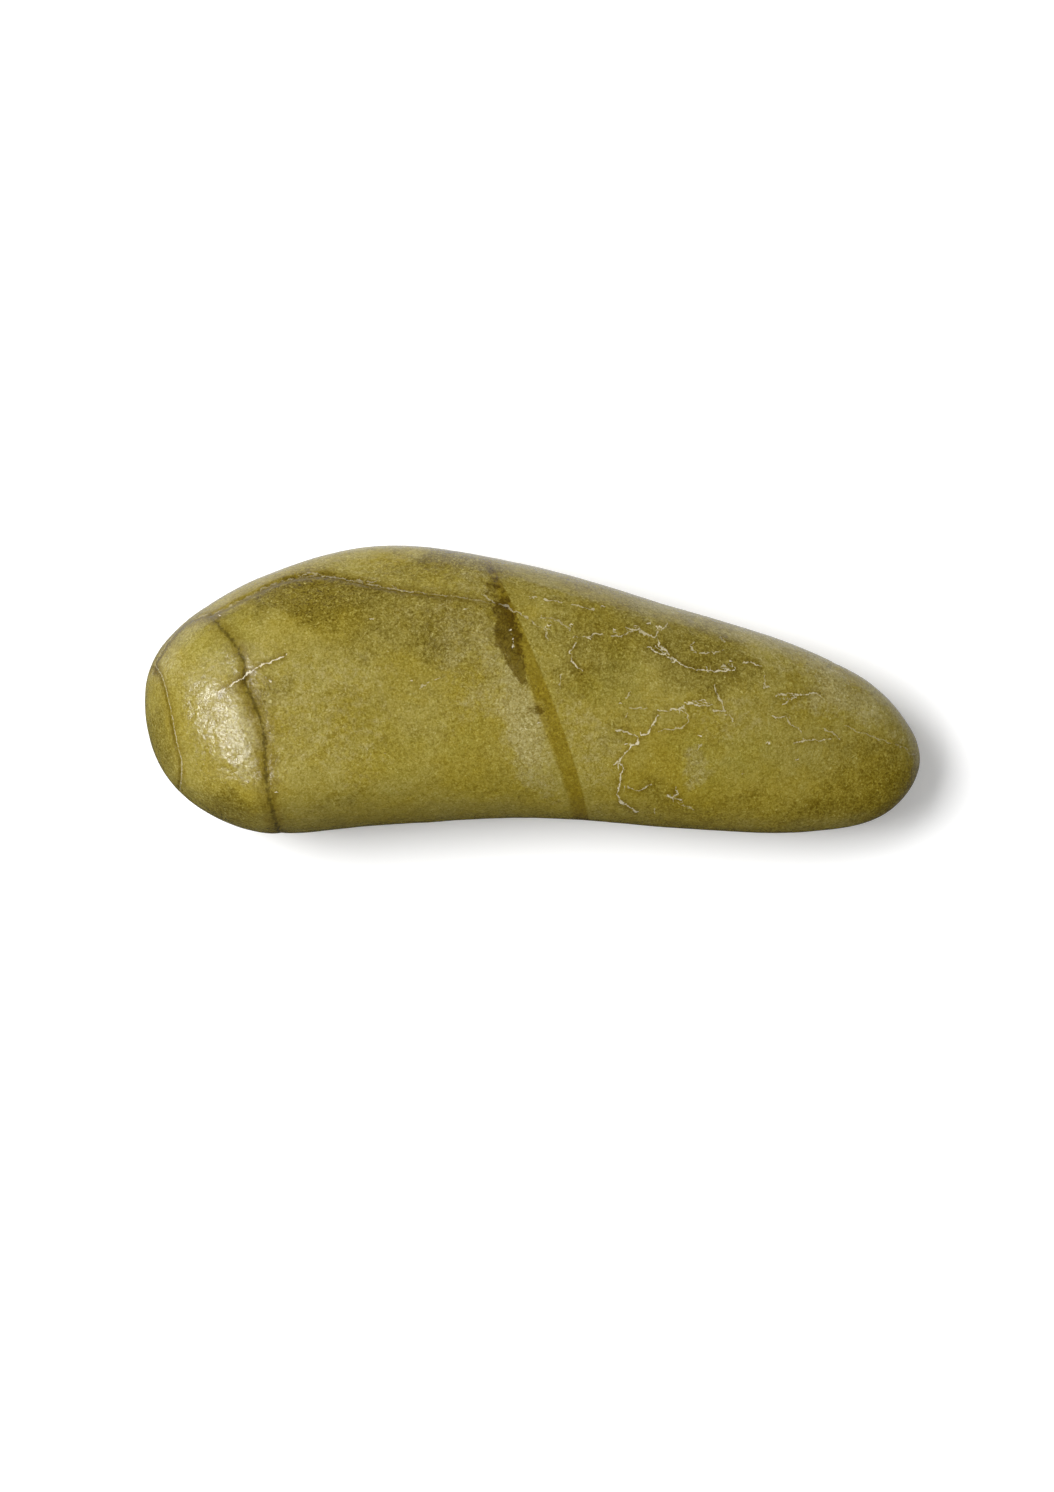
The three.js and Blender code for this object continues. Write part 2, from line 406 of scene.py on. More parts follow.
# Where the marks' eye sees each point, in millimetres at the marks' level.
def seenFromAbove(points):
    eye = np.array(stoneMarks["markEye"])
    offset = points / mm - eye
    return eye[:2] + offset[:, :2] * ((stoneMarks["markLevel"] - eye[2]) / offset[:, 2])[:, None]


# Pushes places seen from above about at random, so that what is drawn on them has a wandering outline.
def wandering(flat, points):
    for (size, spacing), seeds in zip(stoneMarks["patchWander"], ((21, 22), (23, 24))):
        turns = [latticeNoise(points, spacing * mm, seed) for seed in seeds]
        flat = flat + size * np.stack(turns, axis=1)
    return flat


# Sum of soft ellipses, each falling off as exp(-r^2 r^2 / 2), where r is 1 on the ellipse.
def patchField(flat, ellipses):
    total = np.zeros(len(flat))
    for x, y, reachX, reachY, turn, amount in ellipses:
        c, s = math.cos(math.radians(turn)), math.sin(math.radians(turn))
        offset = flat - (x, y)
        along = (offset[:, 0] * c + offset[:, 1] * s) / reachX
        across = (offset[:, 1] * c - offset[:, 0] * s) / reachY
        total += amount * np.exp(-((along ** 2 + across ** 2) ** 2) / 2)
    return np.clip(total, 0, 1)


# The grid: rings run along the stone, each starting under it and going round over the top. Angles
# along the stone gather towards mid-length, and the upper half of a ring has most of its steps.
def stoneGrid():
    rings, over, under = (stoneShape[k] for k in ("ringsAlong", "stepsOver", "stepsUnder"))
    u = np.arange(1, rings) / rings
    along = math.pi * (u + stoneShape["midCrowding"] * np.sin(2 * math.pi * u))
    half = under // 2
    around = np.concatenate([
        -math.pi / 2 + math.pi / 2 * np.arange(half) / half,
        math.pi * np.arange(over) / over,
        math.pi + math.pi / 2 * np.arange(half) / half,
    ])
    surface = bareStone(along[:, None], around[None, :])
    tips = bareStone(np.array([[0.0], [math.pi]]), np.array([[0.0]]))
    points = np.concatenate([surface.reshape(-1, 3), tips.reshape(-1, 3)])
    low, high = (np.array(corner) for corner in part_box("serpentine_stone"))
    return fitToBox(points, low, high), rings - 1, len(around)


# Corner numbers of the quads between rings and of the triangles that close the two tips, and
# where each corner lies on the unrolled map (along the stone, round the stone).
def stoneFaces(rings, steps):
    ring, step = np.meshgrid(np.arange(rings - 1), np.arange(steps), indexing="ij")
    ring, step = ring.ravel(), step.ravel()
    after = (step + 1) % steps
    quads = np.stack([
        ring * steps + step, ring * steps + after, (ring + 1) * steps + after, (ring + 1) * steps + step,
    ], axis=1)
    quadMap = np.stack([
        np.stack([ring + 1, ring + 1, ring + 2, ring + 2], axis=1) / (rings + 1),
        np.stack([step, step + 1, step + 1, step], axis=1) / steps,
    ], axis=2)
    step = np.arange(steps)
    after = (step + 1) % steps
    first, last = rings * steps, rings * steps + 1
    final = (rings - 1) * steps
    blunt = np.stack([np.full(steps, first), after, step], axis=1)
    bluntMap = np.stack([
        np.stack([0 * step, 0 * step + 1, 0 * step + 1], axis=1) / (rings + 1),
        np.stack([step + 0.5, step + 1, step], axis=1) / steps,
    ], axis=2)
    slim = np.stack([np.full(steps, last), final + step, final + after], axis=1)
    slimMap = np.stack([
        np.stack([0 * step + rings + 1, 0 * step + rings, 0 * step + rings], axis=1) / (rings + 1),
        np.stack([step + 0.5, step, step + 1], axis=1) / steps,
    ], axis=2)
    return quads, quadMap, np.concatenate([blunt, slim]), np.concatenate([bluntMap, slimMap])


# A closed mesh from quads and triangles, smooth shaded, with its unrolled map.
def meshFrom(name, points, quads, quadMap, triangles, triangleMap):
    mesh = bpy.data.meshes.new(name)
    corners = np.concatenate([quads.ravel(), triangles.ravel()])
    counts = np.concatenate([np.full(len(quads), 4), np.full(len(triangles), 3)])
    mesh.vertices.add(len(points))
    mesh.vertices.foreach_set("co", points.astype(np.float32).ravel())
    mesh.loops.add(len(corners))
    mesh.loops.foreach_set("vertex_index", corners.astype(np.int32))
    mesh.polygons.add(len(counts))
    mesh.polygons.foreach_set("loop_start", (np.cumsum(counts) - counts).astype(np.int32))
    mesh.update(calc_edges=True)
    mesh.polygons.foreach_set("use_smooth", np.ones(len(counts), bool))
    layer = mesh.uv_layers.new(name="OFBake")
    unrolled = np.concatenate([quadMap.reshape(-1, 2), triangleMap.reshape(-1, 2)])
    layer.data.foreach_set("uv", unrolled.astype(np.float32).ravel())
    mesh.validate()
    mesh.update()
    return mesh


# Outward directions at the vertices.
def vertexNormals(mesh):
    normals = np.zeros(len(mesh.vertices) * 3, np.float32)
    mesh.vertex_normals.foreach_get("vector", normals)
    return normals.reshape(-1, 3).astype(float)


def storeVectors(mesh, name, vectors):
    attribute = mesh.attributes.new(name, "FLOAT_VECTOR", "POINT")
    attribute.data.foreach_set("vector", vectors.astype(np.float32).ravel())


# Height added along the normal: a broad swell and shallow dimples, a groove at the crack with the
# upper face a little lower beside it, a stepped crease at each seam, a slight ridge on each
# hairline, a low dome on the blunt end, and a bowl at each pit.
def reliefHeight(points, flat, faceUp, upper, crack, seam, endSeam, hair):
    look = reliefLook
    broad, close = look["swellSpacing"]
    height = look["swell"] * latticeNoise(points, broad, seed=11)
    height += look["swell"] / 3 * latticeNoise(points, close, seed=12)
    height *= look["swellOnSides"] + (1 - look["swellOnSides"]) * faceUp
    broad, close = look["hammeredSpacing"]
    height += look["hammered"] * latticeNoise(points, broad, seed=13)
    height += look["hammered"] / 3 * latticeNoise(points, close, seed=14)
    height -= look["crackDepth"] * np.exp(-(crack[:, 1] / look["crackWidth"]) ** 2) * crack[:, 2]
    below = np.exp(-crack[:, 1] / look["crackStepReach"])
    below *= smoothStep(crack[:, 0], *look["crackStepEdge"])
    height -= look["crackStep"] * below * crack[:, 2]
    for field in (seam, endSeam):
        fade = smoothStep(field[:, 2], 0, 1)
        crease = np.exp(-(field[:, 1] / look["seamWidth"]) ** 2)
        height -= look["seamDepth"] * crease * fade * faceUp
        bank = np.exp(-field[:, 1] / look["seamStepReach"])
        bank *= smoothStep(field[:, 0], *look["seamStepEdge"])
        height += look["seamStep"] * bank * fade * faceUp
    height += look["bulge"] * patchField(flat, look["bulgePlace"]) * upper
    height += look["hairlineRise"] * np.exp(-(hair[:, 1] / look["hairlineWidth"]) ** 2) * hair[:, 2]
    for x, y, radius in look["pits"]:
        distance = np.hypot(flat[:, 0] - x, flat[:, 1] - y) / radius
        height -= look["pitDepth"] * np.exp(-(distance ** 2)) * upper
    return height


# How far each place is from each kind of mark. Strengths fade where the stone turns away from above.
def measureMarks(flat, normals, upper):
    gentle = smoothStep(normals[:, 2], *stoneMarks["sideFade"])

    def fieldOf(name):
        return lineField(flat, [smoothLine(stoneMarks[name], stoneMarks["curveStep"])], [1])

    crack, seam, endSeam = fieldOf("endCrack"), fieldOf("backSeam"), fieldOf("endSeam")
    crack[:, 2] = upper
    seam[:, 2] = gentle * (1 - smoothStep(flat[:, 0], *stoneMarks["seamEnd"]))
    endSeam[:, 2] = gentle
    sharp, ragged = fieldOf("bandSharpEdge"), fieldOf("bandRaggedEdge")
    band = np.stack([sharp[:, 0], ragged[:, 0], upper], axis=1)

    random = np.random.default_rng(stoneMarks["hairSeed"])
    step, wander = stoneMarks["hairStep"], stoneMarks["hairWander"]
    lines = [crookedLine(route, step, wander, random) for power, route in hairlines.values()]
    powers = [power for power, route in hairlines.values()]
    lines += [np.array([(x - radius, y), (x + radius, y)]) for x, y, radius in specks]
    hair = lineField(flat, lines, powers + [1] * len(specks))
    hair[:, 2] *= gentle
    print("marks measured:", len(lines), "hairlines and specks")
    return {"endCrack": crack, "backSeam": seam, "endSeam": endSeam, "band": band, "hairlines": hair}


# How much of each soft colour is at each place, from 0 to 1. A stain also lies under the back seam,
# and is weaker beyond it.
def measureZones(flat, points, upper, seam):
    pushed = wandering(flat, points)
    left = stoneMarks["patchUnder"]
    left = left + (1 - left) * upper
    zone = {name: patchField(pushed, ellipses) * left for name, ellipses in patches.items()}
    share = stoneMarks["blotchWander"]
    zone["blotch"] = patchField((1 - share) * flat + share * pushed, patches["blotch"]) * upper
    stain = stoneMarks["seamStain"]
    underSeam = smoothStep(-seam[:, 0], 0, 0.3) * np.exp(-((seam[:, 1] / stain["width"]) ** 2))
    underSeam *= smoothStep(flat[:, 0], *stain["from"]) * (1 - smoothStep(flat[:, 0], *stain["to"]))
    zone["stain"] = np.clip(zone["stain"] + underSeam, 0, 1)
    beyondSeam = smoothStep(seam[:, 0], 0, 0.5) * (1 - smoothStep(seam[:, 1], *stain["reach"]))
    zone["stain"] *= 1 - (1 - stain["beyond"]) * beyondSeam
    return zone


def makeStone():
    points, rings, steps = stoneGrid()
    faces = stoneFaces(rings, steps)
    bare = meshFrom("bareStone", points, *faces)
    normals = vertexNormals(bare)
    bpy.data.meshes.remove(bare)
    print("stone grid:", rings, "rings of", steps)

    flat = seenFromAbove(points)
    upper = smoothStep(normals[:, 2], *stoneShape["turnsUnder"])
    faceUp = smoothStep(normals[:, 2], *stoneShape["turnsUp"])
    marks = measureMarks(flat, normals, upper)
    measured = (marks[name] for name in ("endCrack", "backSeam", "endSeam", "hairlines"))
    height = reliefHeight(points, flat, faceUp, upper, *measured)
    points = points + height[:, None] * normals
    points[:, 2] = np.maximum(points[:, 2], 0)

    mesh = meshFrom("serpentineStone", points, *faces)
    for name, field in marks.items():
        storeVectors(mesh, name, field)
    zone = measureZones(flat, points, upper, marks["backSeam"])
    storeVectors(mesh, "zones", np.stack([zone["stain"], zone["ashAndSheen"], zone["honey"]], axis=1))
    storeVectors(mesh, "zonesToo", np.stack([zone["moss"], zone["blotch"], upper], axis=1))
    stone = bpy.data.objects.new("serpentineStone", mesh)
    bpy.context.collection.objects.link(stone)
    print("stone made:", len(mesh.polygons), "faces")
    return stone


# Adds a node with its settings, and links or sets its inputs.
def addNode(tree, kind, inputs=None, **settings):
    node = tree.nodes.new(kind)
    for name, value in settings.items():
        setattr(node, name, value)
    for key, value in (inputs or {}).items():
        if isinstance(value, bpy.types.NodeSocket):
            tree.links.new(value, node.inputs[key])
        elif node.inputs[key].type == "RGBA":
            node.inputs[key].default_value = (*value, 1)
        else:
            node.inputs[key].default_value = value
    return node


def maths(tree, operation, *values, clamp=False):
    settings = {"operation": operation, "use_clamp": clamp}
    return addNode(tree, "ShaderNodeMath", dict(enumerate(values)), **settings).outputs[0]


# One up to low, zero from high on, and an S-curve between; with low above high it rises instead.
def fall(tree, value, low, high):
    inputs = {"Value": value, "From Min": low, "From Max": high, "To Min": 1.0, "To Max": 0.0}
    return addNode(tree, "ShaderNodeMapRange", inputs, interpolation_type="SMOOTHSTEP").outputs["Result"]


def mixColour(tree, factor, first, second, blend="MIX"):
    inputs = {0: factor, 6: first, 7: second}
    return addNode(tree, "ShaderNodeMix", inputs, data_type="RGBA", blend_type=blend).outputs[2]


# Cloudy noise less its middle value, so about -0.3 to 0.3.
def noise(tree, place, scale, detail=2.0, roughness=0.5, twist=0.0):
    inputs = {"Vector": place, "Scale": scale, "Detail": detail, "Roughness": roughness}
    cloud = addNode(tree, "ShaderNodeTexNoise", {**inputs, "Distortion": twist}).outputs["Fac"]
    return maths(tree, "SUBTRACT", cloud, 0.5)


def split(tree, vector):
    return addNode(tree, "ShaderNodeSeparateXYZ", {0: vector}).outputs


# A shader group with named sockets: it takes vectors and numbers, and gives numbers.
def newGroup(name, vectors, numbers, results):
    tree = bpy.data.node_groups.new(name, "ShaderNodeTree")
    sockets = [(label, "INPUT", "NodeSocketVector") for label in vectors]
    sockets += [(label, "INPUT", "NodeSocketFloat") for label in numbers]
    sockets += [(label, "OUTPUT", "NodeSocketFloat") for label in results]
    for label, direction, kind in sockets:
        tree.interface.new_socket(label, in_out=direction, socket_type=kind)
    return tree, tree.nodes.new("NodeGroupInput").outputs, tree.nodes.new("NodeGroupOutput").inputs


def useGroup(tree, group, inputs):
    return addNode(tree, "ShaderNodeGroup", inputs, node_tree=group).outputs


# A thin crooked line where a field's side passes zero, and the soft halo round it. Field holds
# side, reach and strength, and every size is in millimetres.
def lineGroup():
    numbers = ["Shift", "Half Width", "Raggedness", "Beading", "Halo Width"]
    tree, given, put = newGroup("mineralLine", ["Place", "Field"], numbers, ["Line", "Halo"])
    field = split(tree, given["Field"])
    side = maths(tree, "ADD", field["X"], given["Shift"])
    crooked = noise(tree, given["Place"], 1.6, 4, 0.7)
    side = maths(tree, "MULTIPLY_ADD", crooked, given["Raggedness"], side)
    beads = maths(tree, "MULTIPLY_ADD", noise(tree, given["Place"], 1.7, 3, 0.7), given["Beading"], 0.9)
    width = maths(tree, "MULTIPLY", given["Half Width"], maths(tree, "MAXIMUM", beads, 0.05))
    line = fall(tree, maths(tree, "DIVIDE", maths(tree, "ABSOLUTE", side), width), 0.35, 1.4)
    line = maths(tree, "MULTIPLY", line, fall(tree, field["Y"], 0.35, 0.55))
    power = maths(tree, "MULTIPLY", field["Z"], maths(tree, "MINIMUM", beads, 1.0, clamp=True))
    tree.links.new(maths(tree, "MULTIPLY", line, power), put["Line"])
    spread = noise(tree, given["Place"], 0.9, 3)
    soft = maths(tree, "MULTIPLY_ADD", spread, given["Halo Width"], field["Y"])
    halo = fall(tree, maths(tree, "DIVIDE", soft, given["Halo Width"]), 0.0, 1.0)
    tree.links.new(maths(tree, "MULTIPLY", halo, field["Z"]), put["Halo"])
    return tree


# Gives a soft patch a ragged, grainy outline.
def patchGroup():
    numbers = ["Patch", "Scale", "Raggedness", "Sharpness"]
    tree, given, put = newGroup("raggedPatch", ["Place"], numbers, ["Mask"])
    rough = noise(tree, given["Place"], given["Scale"], 5, 0.65)
    rough = maths(tree, "MULTIPLY", rough, given["Raggedness"])
    present = fall(tree, given["Patch"], 0.2, 0.0)
    edge = maths(tree, "ADD", given["Patch"], maths(tree, "MULTIPLY", rough, present))
    inside = maths(tree, "SUBTRACT", edge, 0.5)
    mask = maths(tree, "MULTIPLY_ADD", inside, given["Sharpness"], 0.5, clamp=True)
    tree.links.new(mask, put["Mask"])
    return tree


# Fine grain: soft specks, dark worm-like threads and short pale strokes. Gamma is for a colour: below
# 1 it makes it paler and above 1 richer and darker. Height is the relief that goes with it.
def grainGroup():
    numbers = ["Scale", "Twist", "Contrast"]
    tree, given, put = newGroup("wormGrain", ["Place"], numbers, ["Gamma", "Height"])
    specks = noise(tree, given["Place"], given["Scale"], 2, 0.6, 0.5)
    scale = maths(tree, "MULTIPLY", given["Scale"], 0.42)
    paths = maths(tree, "ABSOLUTE", noise(tree, given["Place"], scale, 1, 0.5, given["Twist"]))
    threads = maths(tree, "SUBTRACT", fall(tree, paths, 0.0, 0.07), 0.3)
    inputs = {"Vector": given["Place"], "Location": (40, 9, 17)}
    elsewhere = addNode(tree, "ShaderNodeMapping", inputs).outputs[0]
    routes = noise(tree, elsewhere, maths(tree, "MULTIPLY", given["Scale"], 0.3), 1, 0.5, 1.8)
    broken = fall(tree, noise(tree, elsewhere, scale, 1), 0.08, 0.0)
    strokes = maths(tree, "MULTIPLY", fall(tree, maths(tree, "ABSOLUTE", routes), 0.0, 0.035), broken)
    grain = maths(tree, "MULTIPLY_ADD", threads, -0.2, maths(tree, "MULTIPLY", specks, 0.85))
    grain = maths(tree, "MULTIPLY_ADD", maths(tree, "SUBTRACT", strokes, 0.05), 0.2, grain)
    gamma = maths(tree, "SUBTRACT", 1.0, maths(tree, "MULTIPLY", grain, given["Contrast"]))
    tree.links.new(gamma, put["Gamma"])
    tree.links.new(grain, put["Height"])
    return tree


# What a user would change on the finish. Colours are linear RGB, tints multiply what they lie on,
# scales are per millimetre and amounts run from 0 to 1.
serpentineLook = {
    "olive": (0.237, 0.184, 0.02),
    "khaki": (0.262, 0.213, 0.04),
    "honey": (0.246, 0.184, 0.013),
    "moss": (0.222, 0.194, 0.028),
    # pale grey of the ash patches, also used for painted reflection on the rims and a painted highlight
    # glow
    "ashAndSheen": (0.32, 0.272, 0.108),
    # pale chalk of the veins, also used for painted glints and painted highlights beside the seams
    "chalkAndGlint": (0.64, 0.58, 0.4),
    "crack": (0.045, 0.03, 0.002),
    # dark brown of the seam lines; below the back seam it also paints the shadow of the raised strip
    # beyond it
    "seam": (0.1, 0.066, 0.0),
    # brown of the stains, also used for painted shade on the front edge and the slim end
    "stainAndShadeTint": (0.54, 0.5, 0.28),
    "bandTint": (0.74, 0.665, 0.21),
    "blotchTint": (0.4, 0.33, 0.08),
    # brown halo round cracks, seams and hairlines, partly painted shade beside them
    "haloAndShadeTint": (0.6, 0.53, 0.25),
    "cloudScale": 0.11,  # broad clouds of olive and khaki
    "wispScale": 0.5,  # honey wisps all over
    "wispAmount": 0.4,
    # each patch of colour: scale, raggedness and sharpness of its edge, then its amount
    "honeyPatch": (0.6, 0.8, 1.3, 0.8),
    "mossPatch": (0.6, 0.8, 1.3, 0.8),
    "ashAndSheenPatch": (1.1, 2.0, 1.5, 0.55),
    "stainAndShadePatch": (0.8, 1.2, 1.2, 0.85),
    "blotchPatch": (1.4, 2.6, 3.0, 0.9),
    "grainScale": 4.2,
    "grainTwist": 1.2,
    "grainContrast": 0.95,
    "mottleScale": 0.7,
    "mottle": 0.16,
    "busyness": 0.6,  # extra grain and mottle in the stains and the ash
    "bandAmount": 0.95,
    "crispEdge": (-0.16, 0.06),  # millimetres across the slim-end edge: whole band, and none
    "frayedEdge": (0.4, -0.2),  # the same across its other edge
    "frayScale": 1.1,
    "frayReach": 1.1,
    "roughness": 0.23,
    "ashDullness": 0.06,  # added to the roughness
    "chalkDullness": 0.25,
    "ior": 1.56,
    "subsurface": 0.08,
    "subsurfaceRadius": (1.0, 0.7, 0.2),
    "subsurfaceScale": 0.6 * mm,
    "reliefDepth": 0.11 * mm,
    "peelScale": 0.8,
    "grainRelief": 0.15,  # grain's share of the relief, beside the orange peel's
}

# Lines drawn on the stone, one over the other. Sizes are in millimetres, a shift puts a line beside its
# mark, and halo and line say how much of the brown halo and of the line's colour there is. The halo is
# partly painted shade beside the line.
drawnLines = {
    "crack": {
        "mark": "endCrack", "shift": 0.0, "halfWidth": 0.19, "raggedness": 1.0, "beading": 2.8,
        "haloWidth": 2.0, "halo": 0.8, "line": 0.65, "colour": "crack",
    },
    # the dark line lies on the seam's lower side, partly a seam and partly the painted shadow of the
    # raised strip beyond it
    "backSeam": {
        "mark": "backSeam", "shift": 0.14, "halfWidth": 0.16, "raggedness": 0.5, "beading": 3.0,
        "haloWidth": 1.1, "halo": 0.65, "line": 0.8, "colour": "seam",
    },
    # a painted highlight along the raised strip beside the back seam
    "backSeamGlint": {
        "mark": "backSeam", "shift": -0.06, "halfWidth": 0.04, "raggedness": 0.6, "beading": 6.0,
        "line": 0.25, "colour": "chalkAndGlint",
    },
    "endSeam": {
        "mark": "endSeam", "shift": 0.14, "halfWidth": 0.14, "raggedness": 0.5, "beading": 3.0,
        "haloWidth": 1.0, "halo": 0.6, "line": 0.7, "colour": "seam",
    },
    # a painted highlight where the blunt end's dome edge catches the light beside the end seam
    "endSeamGlint": {
        "mark": "endSeam", "shift": -0.08, "halfWidth": 0.05, "raggedness": 0.5, "beading": 5.0,
        "line": 0.45, "colour": "chalkAndGlint",
    },
    "hairlines": {
        "mark": "hairlines", "shift": 0.0, "halfWidth": 0.06, "raggedness": 0.9, "beading": 4.4,
        "haloWidth": 0.7, "halo": 0.6, "line": 0.9, "colour": "chalkAndGlint",
    },
}


def makeSerpentine():
    look = serpentineLook
    material = bpy.data.materials.new("polishedSerpentine")
    material.use_nodes = True
    tree = material.node_tree
    tree.nodes.clear()
    line, patch, grain = lineGroup(), patchGroup(), grainGroup()
    place = addNode(tree, "ShaderNodeTexCoord").outputs["Object"]
    inputs = {"Vector": place, "Scale": (1 / mm, 1 / mm, 1 / mm)}
    place = addNode(tree, "ShaderNodeMapping", inputs).outputs[0]

    def stored(name):
        return addNode(tree, "ShaderNodeAttribute", attribute_name=name).outputs["Vector"]

    def ragged(kind, value):
        scale, raggedness, sharpness, amount = look[kind]
        inputs = {"Place": place, "Patch": value, "Scale": scale, "Raggedness": raggedness}
        return useGroup(tree, patch, {**inputs, "Sharpness": sharpness})["Mask"], amount

    def ruled(drawn):
        return useGroup(tree, line, {
            "Place": place, "Field": stored(drawn["mark"]), "Shift": drawn["shift"],
            "Half Width": drawn["halfWidth"], "Raggedness": drawn["raggedness"],
            "Beading": drawn["beading"], "Halo Width": drawn.get("haloWidth", 1.0),
        })

    def over(below, mask, amount, colour):
        return mixColour(tree, maths(tree, "MULTIPLY", mask, amount), below, look[colour])

    def tinted(below, mask, amount, tint):
        return mixColour(tree, maths(tree, "MULTIPLY", mask, amount), below, look[tint], "MULTIPLY")

    zones, zonesToo = split(tree, stored("zones")), split(tree, stored("zonesToo"))

    # body: two close olives in broad clouds, then warmer, greener and greyer patches
    clouds = fall(tree, noise(tree, place, look["cloudScale"], 3, 0.55), 0.12, -0.12)
    wisps = fall(tree, noise(tree, place, look["wispScale"], 4, 0.65), 0.16, 0.0)
    colour = mixColour(tree, clouds, look["khaki"], look["olive"])
    colour = over(colour, wisps, look["wispAmount"], "honey")
    colour = over(colour, *ragged("honeyPatch", zones["Z"]), "honey")
    colour = over(colour, *ragged("mossPatch", zonesToo["X"]), "moss")
    # the ash patches include painted reflection on the rims and a painted highlight glow by the crack
    ashAndSheen, ashAndSheenAmount = ragged("ashAndSheenPatch", zones["Y"])
    colour = over(colour, ashAndSheen, ashAndSheenAmount, "ashAndSheen")
    # the stains include painted shade on the front edge and the slim end
    colour = tinted(colour, *ragged("stainAndShadePatch", zones["X"]), "stainAndShadeTint")

    # grain and mottling, busier in the stains and the ash
    busy = maths(tree, "MAXIMUM", zones["X"], zones["Y"])
    busy = maths(tree, "MULTIPLY_ADD", busy, look["busyness"], 1.0)
    contrast = maths(tree, "MULTIPLY", busy, look["grainContrast"])
    inputs = {"Place": place, "Scale": look["grainScale"], "Twist": look["grainTwist"]}
    worms = useGroup(tree, grain, {**inputs, "Contrast": contrast})
    mottle = noise(tree, place, look["mottleScale"], 4, 0.7)
    mottle = maths(tree, "MULTIPLY", mottle, maths(tree, "MULTIPLY", busy, look["mottle"]))
    gamma = maths(tree, "SUBTRACT", worms["Gamma"], mottle)
    colour = addNode(tree, "ShaderNodeGamma", {"Color": colour, "Gamma": gamma}).outputs[0]

    # the dark diagonal band: crisp on its slim-end side, frayed on the other, with a darker blotch
    band = split(tree, stored("band"))
    crisp = fall(tree, band["X"], *look["crispEdge"])
    frayed = noise(tree, place, look["frayScale"], 5, 0.65)
    frayed = maths(tree, "MULTIPLY_ADD", frayed, look["frayReach"], band["Y"])
    inside = maths(tree, "MULTIPLY", crisp, fall(tree, frayed, *look["frayedEdge"]))
    colour = tinted(colour, inside, look["bandAmount"], "bandTint")
    blotch, blotchAmount = ragged("blotchPatch", zonesToo["Y"])
    colour = tinted(colour, maths(tree, "MULTIPLY", blotch, crisp), blotchAmount, "blotchTint")

    # cracks, seams and hairlines, with brown halos that are partly painted shade beside the lines, and
    # painted highlights beside the seams
    masks = {name: ruled(drawn) for name, drawn in drawnLines.items()}
    for name, drawn in drawnLines.items():
        if "halo" in drawn:
            colour = tinted(colour, masks[name]["Halo"], drawn["halo"], "haloAndShadeTint")
        colour = over(colour, masks[name]["Line"], drawn["line"], drawn["colour"])

    # polish: glossy, duller on chalk and in the ash, with fine orange-peel relief
    dull = maths(tree, "MULTIPLY_ADD", ashAndSheen, look["ashDullness"], look["roughness"])
    dull = maths(tree, "MULTIPLY_ADD", masks["hairlines"]["Line"], look["chalkDullness"], dull)
    peel = noise(tree, place, look["peelScale"], 2)
    height = maths(tree, "MULTIPLY_ADD", worms["Height"], look["grainRelief"], peel)
    inputs = {"Height": height, "Distance": look["reliefDepth"], "Strength": 1.0}
    bump = addNode(tree, "ShaderNodeBump", inputs).outputs[0]
    shader = addNode(tree, "ShaderNodeBsdfPrincipled", {
        "Base Color": colour, "Roughness": dull, "Normal": bump, "IOR": look["ior"],
        "Subsurface Weight": look["subsurface"], "Subsurface Radius": look["subsurfaceRadius"],
        "Subsurface Scale": look["subsurfaceScale"],
    })
    output = addNode(tree, "ShaderNodeOutputMaterial")
    tree.links.new(shader.outputs[0], output.inputs["Surface"])
    print("serpentine finish made:", len(tree.nodes), "nodes")
    return material


# What a user would change on the studio. The key light shapes the stone and its shadow, and the
# glint light gives only the highlight on the blunt end.
studioLook = {
    "floorRadius": 1.6,
    "floorCorners": 96,
    "floorShade": 1.0,
    "floorBounce": 0.65,  # how pale the floor is to everything but the camera
    "floorSheen": (0.03, 0.72),  # how pale it is in the stone's polish, in front and close behind
    "behindEdge": (0.02, -0.015),  # metres along Y where the floor is wholly behind, and not at all
    "behindLean": 0.2,  # how much X counts beside Y in that
    "closeReach": (0.07, 0.13),  # metres from the middle where it is wholly close, and not at all
    "floorGlow": 0.12,
    "farGlow": 0.9,  # added to the far floor, so that it runs into the white sky
    "farReach": (0.8, 0.2),  # metres from the middle where it is wholly far, and not at all
    "skyTowards": (-0.7, 0.5, 0.45),  # the brightest part of the sky
    "skySpread": (1.0, -0.6),  # cosine of the angle from there where the sky is brightest, and dimmest
    "skyBright": 0.62,
    "skyDim": 0.16,
    "skySheen": 0.05,  # how much of the sky shows in the stone's polish
    "keyFrom": (-0.52, 0.16, 0.8),
    "lampDistance": 0.7,
    "keySize": 0.42,
    "keyPower": 5.8,
    "glintFrom": (-0.569, -0.121, 0.813),
    "glintSize": 0.08,
    "glintPower": 1.1,
    "lens": 100,
    "frameHeight": 153.6 * mm,
    "frameShift": (-0.6 * mm, -5.8 * mm),  # the middle of the view, from the middle of the stone
}


